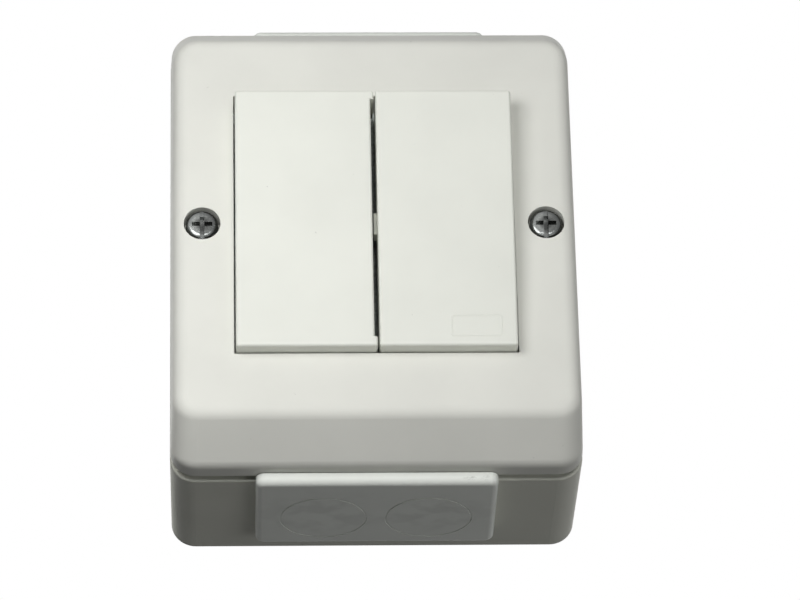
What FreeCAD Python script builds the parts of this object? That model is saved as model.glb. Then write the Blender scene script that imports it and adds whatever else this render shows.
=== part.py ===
import FreeCAD, Part
import math
import os
import re
import Sketcher
from FreeCAD import Vector

# Surface-mounted weatherproof double rocker switch for a wall.
# The wall face lies in the XZ plane, the front faces -Y and +Z is up.
# Depths are measured from the wall, along -Y.

SIZES = {
    # Cover
    "cover_width": 70.0,
    "cover_height": 85.4,
    "cover_depth": 40.1,
    "bend_depth": 32.1,
    "skirt_depth": 28.8,
    "slope_inset": 6.16,
    "side_inset": 0.59,
    "corner_radius": 4.3,
    "front_round": 2.6,
    "bend_round": 3.0,
    "cover_wall": 2.2,
    "skirt_wall": 1.7,
    "collar_wall": 1.2,
    "collar_depth": 5.9,
    "cave_inset": 4.0,
    "inner_round": 1.45,
    # Rocker window
    "window_side": 10.9,
    "window_end": 11.24,
    # Back box
    "base_side_proud": 0.08,
    "base_end_proud": 0.18,
    "base_taper": 0.88,
    "base_depth": 27.2,
    "base_wall": 3.3,
    "base_floor": 2.4,
    "base_edge_round": 0.5,
    "rim_height": 3.8,
    "rim_clearance": 0.3,
    "wall_hole_spacing": 64.0,
    "wall_hole_radius": 2.25,
    "wall_boss_radius": 5.0,
    "wall_boss_height": 1.2,
    # Cover screws, seals and inserts
    "screw_edge": 5.5,
    "screw_radius": 1.5,
    "screw_length": 14.0,
    "head_radius": 2.8,
    "head_height": 2.0,
    "head_recess": 0.2,
    "head_clearance": 0.35,
    "head_round": 0.9,
    "slot_width": 0.8,
    "slot_depth": 0.7,
    "cross_length": 3.5,
    "cross_depth": 1.4,
    "seal_thickness": 0.8,
    "boss_wall": 1.2,
    "seat_thickness": 1.6,
    "post_radius": 3.5,
    "insert_radius": 2.2,
    "insert_length": 7.0,
    "thread_clearance": 0.05,
    # Cable entry plates
    "entry_width": 41.1,
    "entry_low": 7.1,
    "entry_high": 30.1,
    "entry_proud": 2.27,
    "entry_round": 1.6,
    "entry_edge_round": 1.1,
    "notch_width": 34.0,
    "notch_floor": 10.5,
    "flange_lip": 1.6,
    "flange_thickness": 1.4,
    "membrane_spacing": 18.0,
    "membrane_radius": 7.5,
    "membrane_skin": 1.2,
    "membrane_groove": 0.35,
    "groove_depth": 0.1,
    "key_overlap": 1.0,
    # Rockers
    "rocker_proud": 3.8,
    "rocker_gap": 0.86,
    "rocker_side_gap": 0.27,
    "rocker_end_gap": 0.85,
    "rocker_skirt": 7.4,
    "rocker_wall": 1.8,
    "rocker_top": 2.2,
    "rocker_edge_round": 0.5,
    "rib_thickness": 1.2,
    "rib_depth": 4.4,
    "overlap": 0.5,
    "lug_proud": 0.55,
    "lug_length": 4.0,
    "lug_drop": 3.0,
    "lug_height": 2.4,
    "tab_length": 1.7,
    "tilt": 2.6,
    # Toggles
    "pivot_depth": 26.0,
    "barrel_radius": 2.8,
    "barrel_length": 15.2,
    "trunnion_radius": 1.6,
    "trunnion_length": 1.7,
    "running_clearance": 0.05,
    "stem_width": 10.0,
    "stem_height": 6.0,
    "stem_reach": 14.2,
    "socket_wall": 1.3,
    "socket_depth": 4.4,
    "fit_clearance": 0.1,
    "tube_wall": 0.9,
    "tube_reach": 9.0,
    "spring_seat": 2.25,
    "spring_length": 4.4,
    "spring_turns": 4,
    "wire_radius": 0.22,
    "spring_radius": 1.2,
    "plunger_radius": 1.6,
    "plunger_gap": 0.6,
    "nose_round": 1.28,
    # Switch mechanism
    "mechanism_side_gap": 0.6,
    "mechanism_height": 44.0,
    "mechanism_back": 7.0,
    "mechanism_front": 23.0,
    "chamber_width": 13.0,
    "partition_wall": 2.0,
    "chamber_floor": 8.5,
    "frame_lap": 1.5,
    "frame_back": 29.0,
    "frame_thickness": 2.0,
    "frame_rim_width": 1.6,
    "cheek_height": 12.0,
    "cheek_clearance": 0.3,
    "sheet_thickness": 1.0,
    "sheet_lip": 0.8,
    "stem_clearance": 0.8,
    "corner_screw_side": 4.0,
    "corner_screw_end": 4.5,
    "corner_head_radius": 2.75,
    "corner_head_height": 2.0,
    "corner_screw_bite": 3.5,
    "screw_relief": 0.5,
    "cut_margin": 0.5,
    # Contacts and terminals
    "contact_pivot": 12.2,
    "blade_thickness": 0.7,
    "blade_width": 5.6,
    "blade_end_gap": 2.0,
    "blade_pin_radius": 0.7,
    "pin_overhang": 0.2,
    "blade_ratio": 2.8,
    "ear_thickness": 0.7,
    "ear_width": 3.4,
    "ear_clearance": 0.4,
    "strip_thickness": 0.8,
    "strip_width": 4.0,
    "strip_clearance": 0.1,
    "bar_width": 5.0,
    "bar_end": 0.5,
    "strip_end": 0.6,
    "rivet_edge": 1.4,
    "rivet_radius": 1.4,
    "rivet_height": 0.7,
    "contact_gap": 0.15,
    "terminal_wall": 2.0,
    "terminal_width": 8.0,
    "terminal_height": 7.0,
    "clamp_width": 6.0,
    "clamp_height": 6.4,
    "clamp_depth": 7.6,
    "clamp_wall": 1.2,
    "wire_radius_max": 2.0,
    "terminal_screw_radius": 1.5,
    "terminal_head_radius": 2.2,
    "terminal_head_height": 2.0,
    "terminal_screw_length": 7.0,
    "thread_run": 1.0,
}

# Lengths worked out from the driving sizes
HALF_WIDTH = "(cover_width / 2)"
HALF_HEIGHT = "(cover_height / 2)"
BASE_X = f"({HALF_WIDTH} + base_side_proud)"
BASE_Z = f"({HALF_HEIGHT} + base_end_proud)"
BASE_BACK_Z = f"({BASE_Z} - base_taper)"
RIM_INSET = "(skirt_wall + rim_clearance)"
RIM_X = f"({HALF_WIDTH} - {RIM_INSET})"
RIM_Z = f"({HALF_HEIGHT} - {RIM_INSET})"
RIM_RADIUS = "(corner_radius - skirt_wall)"
INNER_X = f"({HALF_WIDTH} - base_wall)"
INNER_Z = f"({HALF_HEIGHT} - base_wall)"
RIM_TOP = "(base_depth + rim_height)"
HEAD_SEAT = "(cover_depth - head_recess - head_height)"
SEAL_SEAT = f"({HEAD_SEAT} - seal_thickness)"
SCREW_X = f"({HALF_WIDTH} - screw_edge)"
RECESS_RADIUS = "(head_radius + head_clearance)"
WINDOW_X = f"({HALF_WIDTH} - window_side)"
WINDOW_Z = f"({HALF_HEIGHT} - slope_inset - window_end)"
FACE_DEPTH = "(cover_depth + rocker_proud)"
ROCKER_NEAR = "(rocker_gap / 2)"
ROCKER_FAR = f"({WINDOW_X} - rocker_side_gap)"
ROCKER_X = f"(({ROCKER_NEAR} + {ROCKER_FAR}) / 2)"
ROCKER_Z = f"({WINDOW_Z} - rocker_end_gap)"
SOCKET_BACK = "(pivot_depth + stem_reach - socket_depth)"
TUBE_BACK = "(pivot_depth - tube_reach)"
TUBE_BORE = "(plunger_radius + running_clearance)"
BLADE_FRONT = "(contact_pivot + blade_thickness / 2)"
BLADE_BACK = "(contact_pivot - blade_thickness / 2)"
BLADE_TILT = "(tilt * blade_ratio)"
STRIP_FRONT = "(chamber_floor + strip_thickness)"
SPRING_BACK = f"({TUBE_BACK} + spring_seat)"
COLLAR_BACK = "(cover_depth - collar_depth)"
SHEET_BACK = f"({COLLAR_BACK} - sheet_thickness)"
FRAME_FRONT = "(frame_back + frame_thickness)"
FRAME_X = f"({WINDOW_X} + frame_lap)"
FRAME_Z = f"({WINDOW_Z} + frame_lap)"
CARRIER_X = f"({WINDOW_X} - mechanism_side_gap)"
CARRIER_Z = "(mechanism_height / 2)"
CORNER_X = f"({CARRIER_X} - corner_screw_side)"
CORNER_Z = f"({CARRIER_Z} - corner_screw_end)"
TERMINAL_Z = f"({CARRIER_Z} - terminal_wall - terminal_height / 2)"
CHAMBER_Z = f"({TERMINAL_Z} - terminal_height / 2 - partition_wall)"
BLADE_Z = f"({CHAMBER_Z} - blade_end_gap)"
RIVET_Z = f"({BLADE_Z} - rivet_edge)"
SCREW_PLACES = [(SCREW_X, "0"), (f"-{SCREW_X}", "0")]
CORNER_PLACES = [(f"-{CORNER_X}", f"-{CORNER_Z}"), (CORNER_X, CORNER_Z)]
TERMINAL_PLACES = [(ROCKER_X, TERMINAL_Z), (f"(-1 * {ROCKER_X})", TERMINAL_Z), ("0", f"-{TERMINAL_Z}")]

TOLERANCE = 1e-4
PLANES = {"front": "XZ_Plane", "side": "YZ_Plane", "plan": "XY_Plane"}

doc = FreeCAD.newDocument("weatherproof_switch")
sheet = doc.addObject("Spreadsheet::Sheet", "dims")
for row, (alias, size) in enumerate(SIZES.items(), start=1):
    sheet.set(f"A{row}", alias)
    sheet.set(f"B{row}", str(size))
    sheet.setAlias(f"B{row}", alias)
doc.recompute()
bodies = []


def bound(formula):
    """The formula with each named size read from the sheet."""
    def read(word):
        name = word.group()
        return f"dims.{name}" if name in SIZES else name
    return re.sub(r"[a-z][a-z0-9_]*", read, formula)


def value(formula):
    return float(sheet.evalExpression(bound(formula)))


def new_body(label):
    body = doc.addObject("PartDesign::Body", label)
    body.Label = label
    bodies.append(body)
    return body


def new_sketch(body, name, plane, start):
    """A sketch parallel to an origin plane; front sketches start at a depth from the wall."""
    sketch = body.newObject("Sketcher::SketchObject", name)
    support = next(item for item in body.Origin.OriginFeatures if item.Role == PLANES[plane])
    sketch.AttachmentSupport = [(support, "")]
    sketch.MapMode = "FlatFace"
    sketch.setExpression("AttachmentOffset.Base.z", bound(start))
    return sketch


def constrain(sketch, constraint, formula):
    number = sketch.addConstraint(constraint)
    sketch.setExpression(f"Constraints[{number}]", bound(formula))


def pin(sketch, geometry, point, x, y):
    """Fix a point of the sketch by its two coordinates."""
    for kind, formula in (("DistanceX", x), ("DistanceY", y)):
        constrain(sketch, Sketcher.Constraint(kind, -1, 1, geometry, point, value(formula)), formula)


def outline(sketch, corners):
    """A closed outline of straight lines through the given corners."""
    places = [Vector(value(x), value(y), 0) for x, y in corners]
    first = sketch.GeometryCount
    count = len(places)
    for index in range(count):
        sketch.addGeometry(Part.LineSegment(places[index], places[(index + 1) % count]))
    for index, (x, y) in enumerate(corners):
        following = first + (index + 1) % count
        sketch.addConstraint(Sketcher.Constraint("Coincident", first + index, 2, following, 1))
        pin(sketch, first + index, 1, x, y)


def rectangle(sketch, left, right, low, high):
    outline(sketch, [(left, low), (right, low), (right, high), (left, high)])


def circle(sketch, x, y, radius):
    centre = Vector(value(x), value(y), 0)
    number = sketch.addGeometry(Part.Circle(centre, Vector(0, 0, 1), value(radius)))
    pin(sketch, number, 3, x, y)
    constrain(sketch, Sketcher.Constraint("Radius", number, value(radius)), radius)


def rounded_rectangle(sketch, left, right, low, high, radius):
    """A rectangle with four tangent corner arcs."""
    turn = math.radians(90)
    centres = [
        (f"{left} + {radius}", f"{low} + {radius}"),
        (f"{right} - {radius}", f"{low} + {radius}"),
        (f"{right} - {radius}", f"{high} - {radius}"),
        (f"{left} + {radius}", f"{high} - {radius}"),
    ]
    first = sketch.GeometryCount
    arcs = []
    for index, (x, y) in enumerate(centres):
        ring = Part.Circle(Vector(value(x), value(y), 0), Vector(0, 0, 1), value(radius))
        arcs.append(Part.ArcOfCircle(ring, turn * (index + 2), turn * (index + 3)))
    for index, arc in enumerate(arcs):
        sketch.addGeometry(arc)
        sketch.addGeometry(Part.LineSegment(arc.EndPoint, arcs[(index + 1) % 4].StartPoint))
    for index, (x, y) in enumerate(centres):
        arc = first + 2 * index
        following = first + 2 * ((index + 1) % 4)
        pin(sketch, arc, 3, x, y)
        constrain(sketch, Sketcher.Constraint("Radius", arc, value(radius)), radius)
        sketch.addConstraint(Sketcher.Constraint("Tangent", arc, 2, arc + 1, 1))
        sketch.addConstraint(Sketcher.Constraint("Tangent", arc + 1, 2, following, 1))


def pad(body, sketch, length):
    """Add the profile, from the sketch along its normal."""
    feature = body.newObject("PartDesign::Pad", f"{sketch.Name}_pad")
    feature.Profile = sketch
    feature.setExpression("Length", bound(length))
    doc.recompute()


def pocket(body, sketch, length):
    """Cut the profile, from the sketch along its normal."""
    before = body.Shape.Volume
    feature = body.newObject("PartDesign::Pocket", f"{sketch.Name}_cut")
    feature.Profile = sketch
    feature.Reversed = True
    feature.setExpression("Length", bound(length))
    doc.recompute()
    if body.Shape.Volume >= before:
        raise ValueError(f"{feature.Name} removed nothing from {body.Label}")


def add_block(body, name, plane, left, right, low, high, start, end):
    sketch = new_sketch(body, name, plane, start)
    rectangle(sketch, left, right, low, high)
    pad(body, sketch, f"{end} - ({start})")


def cut_block(body, name, plane, left, right, low, high, start, end):
    sketch = new_sketch(body, name, plane, start)
    rectangle(sketch, left, right, low, high)
    pocket(body, sketch, f"{end} - ({start})")


def cut_outlines(body, name, plane, outlines, start, end):
    sketch = new_sketch(body, name, plane, start)
    for corners in outlines:
        outline(sketch, corners)
    pocket(body, sketch, f"{end} - ({start})")


def add_round(body, name, plane, places, radius, start, end):
    sketch = new_sketch(body, name, plane, start)
    for x, y in places:
        circle(sketch, x, y, radius)
    pad(body, sketch, f"{end} - ({start})")


def cut_round(body, name, plane, places, radius, start, end):
    sketch = new_sketch(body, name, plane, start)
    for x, y in places:
        circle(sketch, x, y, radius)
    pocket(body, sketch, f"{end} - ({start})")


def round_edges(body, name, radius, chosen):
    """Round each edge of the body so far that the test picks."""
    base = body.Tip
    edges = [f"Edge{number}" for number, edge in enumerate(base.Shape.Edges, start=1) if chosen(edge)]
    feature = body.newObject("PartDesign::Fillet", name)
    feature.Base = (base, edges)
    feature.setExpression("Radius", bound(radius))
    doc.recompute()


def cut_loft(body, lower, upper):
    feature = body.newObject("PartDesign::SubtractiveLoft", f"{upper.Name}_loft")
    feature.Profile = lower
    feature.Sections = [upper]
    feature.Ruled = True
    doc.recompute()


def all_at(edge, axis, place):
    """Whether the whole edge lies at one place along an axis."""
    box = edge.BoundBox
    low, high = ((box.XMin, box.XMax), (box.YMin, box.YMax), (box.ZMin, box.ZMax))[axis]
    return abs(low - place) < TOLERANCE and abs(high - place) < TOLERANCE


def along(edge, axis):
    """Whether the edge is a straight line along an axis."""
    if edge.Curve.TypeId != "Part::GeomLine":
        return False
    return abs(edge.tangentAt(edge.FirstParameter)[axis]) > 1 - TOLERANCE


def lean(body, depth, angle):
    """Turn a finished body about the X axis at the given depth, to its rest pose."""
    body.setExpression("Placement.Rotation.Axis.x", "1")
    body.setExpression("Placement.Rotation.Axis.y", "0")
    body.setExpression("Placement.Rotation.Axis.z", "0")
    body.setExpression("Placement.Rotation.Angle", bound(angle))
    body.setExpression("Placement.Base.y", bound(f"{depth} * (cos({angle}) - 1)"))
    body.setExpression("Placement.Base.z", bound(f"{depth} * sin({angle})"))
    doc.recompute()


def make_back_box():
    """Open box with tapered end walls, a stepped rim, screw posts and a notch for each entry plate."""
    body = new_body("back_box")
    add_block(body, "shell", "front", f"-{BASE_X}", BASE_X, f"-{BASE_Z}", BASE_Z, "0", "base_depth")
    beyond = f"(2 * {BASE_Z})"
    tapers = [
        [("0", f"{sign}{BASE_BACK_Z}"), ("-base_depth", f"{sign}{BASE_Z}"),
         ("-base_depth", f"{sign}{beyond}"), ("0", f"{sign}{beyond}")]
        for sign in ("", "-")
    ]
    cut_outlines(body, "end_tapers", "side", tapers, f"-{BASE_X}", BASE_X)
    half_depth = value("base_depth / 2")
    round_edges(body, "corner_edges", "corner_radius", lambda edge: edge.BoundBox.YLength > half_depth)
    rim = new_sketch(body, "rim", "front", "base_depth")
    rounded_rectangle(rim, f"-{RIM_X}", RIM_X, f"-{RIM_Z}", RIM_Z, RIM_RADIUS)
    pad(body, rim, "rim_height")
    hollow = new_sketch(body, "hollow", "front", "base_floor")
    rounded_rectangle(hollow, f"-{INNER_X}", INNER_X, f"-{INNER_Z}", INNER_Z, "inner_round")
    pocket(body, hollow, f"{RIM_TOP} - base_floor")
    add_round(body, "posts", "front", SCREW_PLACES, "post_radius", "base_floor", RIM_TOP)
    insert_bore = "(insert_radius + thread_clearance)"
    insert_back = f"({RIM_TOP} - insert_length)"
    cut_round(body, "insert_bores", "front", SCREW_PLACES, insert_bore, insert_back, RIM_TOP)
    run_out = "(screw_radius + head_clearance)"
    tip = f"{HEAD_SEAT} - screw_length - seat_thickness"
    cut_round(body, "run_outs", "front", SCREW_PLACES, run_out, tip, RIM_TOP)
    rest_places = [(f"-{CORNER_X}", CORNER_Z), (CORNER_X, f"-{CORNER_Z}")]
    pillars = CORNER_PLACES + rest_places
    add_round(body, "pillars", "front", pillars, "post_radius", "base_floor", "mechanism_back")
    pilot_start = "(mechanism_back - corner_screw_bite - screw_relief)"
    pilot = "(screw_radius + thread_clearance)"
    cut_round(body, "pilots", "front", CORNER_PLACES, pilot, pilot_start, "mechanism_back")
    wall_places = [("0", "wall_hole_spacing / 2"), ("0", "-wall_hole_spacing / 2")]
    boss_top = "(base_floor + wall_boss_height)"
    add_round(body, "wall_bosses", "front", wall_places, "wall_boss_radius", "base_floor", boss_top)
    cut_round(body, "wall_holes", "front", wall_places, "wall_hole_radius", "0", boss_top)
    half = "(notch_width / 2)"
    notch = new_sketch(body, "notches", "front", "notch_floor")
    rectangle(notch, f"-{half}", half, f"{INNER_Z} - cut_margin", f"{BASE_Z} + cut_margin")
    rectangle(notch, f"-{half}", half, f"-{BASE_Z} - cut_margin", f"-{INNER_Z} + cut_margin")
    pocket(body, notch, f"{RIM_TOP} - notch_floor")
    shoulder = -value("base_depth")
    outer_x = value(BASE_X)
    outer_z = value(BASE_Z)

    def on_shoulder(edge):
        box = edge.BoundBox
        furthest = max(abs(box.XMin) - outer_x, abs(box.XMax) - outer_x,
                       abs(box.ZMin) - outer_z, abs(box.ZMax) - outer_z)
        return all_at(edge, 1, shoulder) and furthest > -TOLERANCE

    round_edges(body, "shoulder_round", "base_edge_round", on_shoulder)


def make_entry_plate(label, side):
    """Blank cable entry plate that slides into a notch of the back box wall."""
    body = new_body(label)
    half = "(entry_width / 2)"
    outer = f"({HALF_HEIGHT} + entry_proud)"

    def level(height):
        return f"{height}" if side > 0 else f"-({height})"

    def slab(name, left, right, shallow, deep, low, high):
        start, end = (low, high) if side > 0 else (f"-{high}", f"-{low}")
        add_block(body, name, "plan", left, right, f"-{deep}", f"-{shallow}", start, end)

    plate = new_sketch(body, "plate", "plan", BASE_BACK_Z if side > 0 else f"-{outer}")
    rounded_rectangle(plate, f"-{half}", half, "-entry_high", "-entry_low", "entry_round")
    pad(body, plate, f"{outer} - {BASE_BACK_Z}")
    face = value(level(outer))
    round_edges(body, "face_round", "entry_edge_round", lambda edge: all_at(edge, 2, face))
    wall_line = [("0", level(BASE_BACK_Z)), ("-base_depth", level(BASE_Z)), ("-entry_high", level(BASE_Z)),
                 ("-entry_high", level(INNER_Z)), ("0", level(INNER_Z))]
    cut_outlines(body, "wall_side", "side", [wall_line], f"-{half}", half)
    neck = "(notch_width / 2 - fit_clearance)"
    slab("neck", f"-{neck}", neck, "(notch_floor + fit_clearance)", "base_depth", INNER_Z, BASE_Z)
    slab("rim_key", f"-{neck}", neck, "(base_depth - key_overlap)", RIM_TOP, INNER_Z, RIM_Z)
    lip = "(notch_width / 2 + flange_lip)"
    flange_low = "(notch_floor - flange_lip)"
    flange_back = f"({INNER_Z} - flange_thickness)"
    slab("flange", f"-{lip}", lip, flange_low, RIM_TOP, flange_back, INNER_Z)
    centre_depth = "((entry_low + base_depth) / 2)"
    places = [(f"{sign}membrane_spacing / 2", f"-{centre_depth}") for sign in ("", "-")]
    skin_start, skin_end = (flange_back, f"({outer} - membrane_skin)")
    if side < 0:
        skin_start, skin_end = (f"-{skin_end}", f"-{skin_start}")
    cut_round(body, "membranes", "plan", places, "membrane_radius", skin_start, skin_end)
    ring_start, ring_end = (f"({outer} - groove_depth)", outer)
    if side < 0:
        ring_start, ring_end = (f"-{ring_end}", f"-{ring_start}")
    ring = new_sketch(body, "ring", "plan", ring_start)
    for x, y in places:
        circle(ring, x, y, "membrane_radius")
        circle(ring, x, y, "membrane_radius - membrane_groove")
    pocket(body, ring, f"{ring_end} - ({ring_start})")


def make_cover():
    """Hollow cover with sloped upper and lower walls, a rocker window and two screw wells."""
    body = new_body("cover")
    front_z = f"({HALF_HEIGHT} - slope_inset)"
    section = new_sketch(body, "section", "side", f"-{HALF_WIDTH}")
    outline(section, [
        ("-skirt_depth", f"-{HALF_HEIGHT}"),
        ("-skirt_depth", HALF_HEIGHT),
        ("-bend_depth", HALF_HEIGHT),
        ("-cover_depth", front_z),
        ("-cover_depth", f"-{front_z}"),
        ("-bend_depth", f"-{HALF_HEIGHT}"),
    ])
    pad(body, section, "cover_width")
    drafts = [
        [(f"{sign}{HALF_WIDTH}", "-skirt_depth"), (f"{sign}cover_width", "-skirt_depth"),
         (f"{sign}cover_width", "-cover_depth"), (f"{sign}({HALF_WIDTH} - side_inset)", "-cover_depth")]
        for sign in ("", "-")
    ]
    cut_outlines(body, "side_drafts", "plan", drafts, f"-{HALF_HEIGHT}", HALF_HEIGHT)
    bend = -value("bend_depth")
    front = -value("cover_depth")
    back = -value("skirt_depth")
    side = value(f"{HALF_WIDTH} - side_inset") - TOLERANCE

    def at_corner(edge):
        box = edge.BoundBox
        on_side = box.XMin > side or box.XMax < -side
        return on_side and not all_at(edge, 1, front) and not all_at(edge, 1, back)

    round_edges(body, "bend_edges", "bend_round", lambda edge: along(edge, 0) and all_at(edge, 1, bend))
    round_edges(body, "corner_edges", "corner_radius", at_corner)
    round_edges(body, "front_edge", "front_round", lambda edge: all_at(edge, 1, front))
    wall_x = f"({HALF_WIDTH} - skirt_wall)"
    wall_z = f"({HALF_HEIGHT} - skirt_wall)"
    mouth = new_sketch(body, "mouth", "front", "skirt_depth")
    rounded_rectangle(mouth, f"-{wall_x}", wall_x, f"-{wall_z}", wall_z, RIM_RADIUS)
    pocket(body, mouth, "bend_depth - skirt_depth")
    ceiling = "(cover_depth - cover_wall)"
    top_z = f"({INNER_Z} - cave_inset)"
    cave_low = new_sketch(body, "cave_low", "front", "bend_depth")
    rounded_rectangle(cave_low, f"-{INNER_X}", INNER_X, f"-{INNER_Z}", INNER_Z, "inner_round")
    cave_high = new_sketch(body, "cave_high", "front", ceiling)
    rounded_rectangle(cave_high, f"-{INNER_X}", INNER_X, f"-{top_z}", top_z, "inner_round")
    cut_loft(body, cave_low, cave_high)
    well = f"({RECESS_RADIUS} + boss_wall)"
    well_back = f"({SEAL_SEAT} - seat_thickness)"
    add_round(body, "wells", "front", SCREW_PLACES, well, well_back, f"({ceiling} + cover_wall / 2)")
    collar_x = f"({WINDOW_X} + collar_wall)"
    collar_z = f"({WINDOW_Z} + collar_wall)"
    add_block(body, "collar", "front", f"-{collar_x}", collar_x, f"-{collar_z}", collar_z,
              COLLAR_BACK, ceiling)
    cut_block(body, "window", "front", f"-{WINDOW_X}", WINDOW_X, f"-{WINDOW_Z}", WINDOW_Z,
              COLLAR_BACK, "cover_depth")
    cut_round(body, "recesses", "front", SCREW_PLACES, RECESS_RADIUS, SEAL_SEAT, "cover_depth")
    passage = "(screw_radius + head_clearance / 2)"
    cut_round(body, "passages", "front", SCREW_PLACES, passage, well_back, SEAL_SEAT)


def make_cover_gasket():
    """Rubber cord on the rim of the back box, under the ledge of the cover."""
    body = new_body("cover_gasket")
    ring = new_sketch(body, "ring", "front", RIM_TOP)
    rounded_rectangle(ring, f"-{RIM_X}", RIM_X, f"-{RIM_Z}", RIM_Z, RIM_RADIUS)
    rounded_rectangle(ring, f"-{INNER_X}", INNER_X, f"-{INNER_Z}", INNER_Z, "inner_round")
    pad(body, ring, f"bend_depth - {RIM_TOP}")


def make_cover_screws():
    """Two pan-head screws with a combined slot and cross recess."""
    body = new_body("cover_screws")
    head_top = f"({HEAD_SEAT} + head_height)"
    add_round(body, "heads", "front", SCREW_PLACES, "head_radius", HEAD_SEAT, head_top)
    top = -value(head_top)
    round_edges(body, "head_round", "head_round", lambda edge: all_at(edge, 1, top))
    tip = f"({HEAD_SEAT} - screw_length)"
    add_round(body, "shanks", "front", SCREW_PLACES, "screw_radius", tip, HEAD_SEAT)
    wide, narrow = "cross_length / 2", "slot_width / 2"
    cuts = [("slots", narrow, "head_radius", "slot_depth"), ("upright_arms", narrow, wide, "cross_depth"),
            ("level_arms", wide, narrow, "cross_depth")]
    for name, half_x, half_z, depth in cuts:
        arms = new_sketch(body, name, "front", f"{head_top} - {depth}")
        for x, z in SCREW_PLACES:
            rectangle(arms, f"{x} - {half_x}", f"{x} + {half_x}", f"{z} - {half_z}", f"{z} + {half_z}")
        pocket(body, arms, depth)


def make_rings(label, outer, inner, start, end):
    """Two flat rings or sleeves, one at each cover screw."""
    body = new_body(label)
    sketch = new_sketch(body, "rings", "front", start)
    for sign in ("", "-"):
        circle(sketch, f"{sign}{SCREW_X}", "0", outer)
        circle(sketch, f"{sign}{SCREW_X}", "0", inner)
    pad(body, sketch, f"{end} - ({start})")


def make_rocker(label, side):
    """Hollow rocker cap with a socket for the toggle stem."""
    body = new_body(label)
    sign = "" if side > 0 else "-1 * "

    def across(distance):
        return f"{sign}({distance})"

    tab_edge = f"({ROCKER_NEAR} - lug_proud)"
    inner_edge = tab_edge if side > 0 else ROCKER_NEAR
    skirt = f"({FACE_DEPTH} - rocker_skirt)"
    add_block(body, "cap", "front", across(inner_edge), across(ROCKER_FAR), f"-{ROCKER_Z}", ROCKER_Z,
              skirt, FACE_DEPTH)
    face = -value(FACE_DEPTH)
    round_edges(body, "cap_round", "rocker_edge_round", lambda edge: all_at(edge, 1, face) or along(edge, 1))
    if side > 0:
        recess_z = f"({ROCKER_Z} - tab_length)"
        cut_block(body, "gap_side", "front", tab_edge, ROCKER_NEAR, f"-{recess_z}", recess_z,
                  skirt, FACE_DEPTH)
        gap_side = value(ROCKER_NEAR)
        round_edges(body, "gap_round", "rocker_edge_round",
                    lambda edge: all_at(edge, 0, gap_side) and all_at(edge, 1, face))
    hollow_near = f"({ROCKER_NEAR} + rocker_wall)"
    hollow_far = f"({ROCKER_FAR} - rocker_wall)"
    hollow_z = f"({ROCKER_Z} - rocker_wall)"
    cut_block(body, "hollow", "front", across(hollow_near), across(hollow_far), f"-{hollow_z}", hollow_z,
              skirt, f"{FACE_DEPTH} - rocker_top")
    ceiling = f"({FACE_DEPTH} - rocker_top + overlap)"
    socket_x = "(stem_width / 2 + fit_clearance + socket_wall)"
    socket_z = "(stem_height / 2 + fit_clearance + socket_wall)"
    add_block(body, "socket", "front", across(f"{ROCKER_X} - {socket_x}"),
              across(f"{ROCKER_X} + {socket_x}"), f"-{socket_z}", socket_z, SOCKET_BACK, ceiling)
    stem_x = "(stem_width / 2 + fit_clearance)"
    stem_z = "(stem_height / 2 + fit_clearance)"
    cut_block(body, "stem_hole", "front", across(f"{ROCKER_X} - {stem_x}"), across(f"{ROCKER_X} + {stem_x}"),
              f"-{stem_z}", stem_z, SOCKET_BACK, f"{SOCKET_BACK} + socket_depth")
    rib_back = f"({FACE_DEPTH} - rib_depth)"
    ribs = new_sketch(body, "ribs", "front", rib_back)
    rib_in = f"({socket_z} - overlap)"
    rib_out = f"({ROCKER_Z} - rocker_wall / 2)"
    for low, high in ((f"-{rib_out}", f"-{rib_in}"), (rib_in, rib_out)):
        rectangle(ribs, across(f"{ROCKER_X} - rib_thickness / 2"), across(f"{ROCKER_X} + rib_thickness / 2"),
                  low, high)
    pad(body, ribs, f"{ceiling} - {rib_back}")
    if side < 0:
        lug_front = f"({FACE_DEPTH} - lug_drop)"
        lug_root = f"({ROCKER_NEAR} + rocker_wall / 2)"
        lug_back = f"({lug_front} - lug_height)"
        add_block(body, "lug", "front", across(tab_edge), across(lug_root),
                  "-lug_length / 2", "lug_length / 2", lug_back, lug_front)
    return body


def make_toggle(label, side):
    """Toggle with a barrel on two trunnions, a stem for the rocker and a tube for the plunger."""
    body = new_body(label)
    x = ROCKER_X if side > 0 else f"(-1 * {ROCKER_X})"
    axis = [("-pivot_depth", "0")]
    half = "(barrel_length / 2)"
    add_round(body, "barrel", "side", axis, "barrel_radius", f"{x} - {half}", f"{x} + {half}")
    reach = f"({half} + trunnion_length)"
    add_round(body, "trunnions", "side", axis, "trunnion_radius", f"{x} - {reach}", f"{x} + {reach}")
    add_block(body, "stem", "front", f"{x} - stem_width / 2", f"{x} + stem_width / 2",
              "-stem_height / 2", "stem_height / 2", "pivot_depth", "pivot_depth + stem_reach")
    place = [(x, "0")]
    add_round(body, "tube", "front", place, f"{TUBE_BORE} + tube_wall", TUBE_BACK, "pivot_depth")
    spring_top = f"({SPRING_BACK} + spring_length)"
    cut_round(body, "tube_bore", "front", place, TUBE_BORE, TUBE_BACK, spring_top)
    return body


def make_plunger(label, side):
    """Round-nosed plunger between the spring and the contact blade."""
    body = new_body(label)
    x = ROCKER_X if side > 0 else f"(-1 * {ROCKER_X})"
    nose = f"({BLADE_FRONT} + plunger_gap)"
    add_round(body, "pin", "front", [(x, "0")], "plunger_radius", nose, SPRING_BACK)
    tip = -value(nose)
    round_edges(body, "nose", "nose_round", lambda edge: all_at(edge, 1, tip))
    return body


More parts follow.
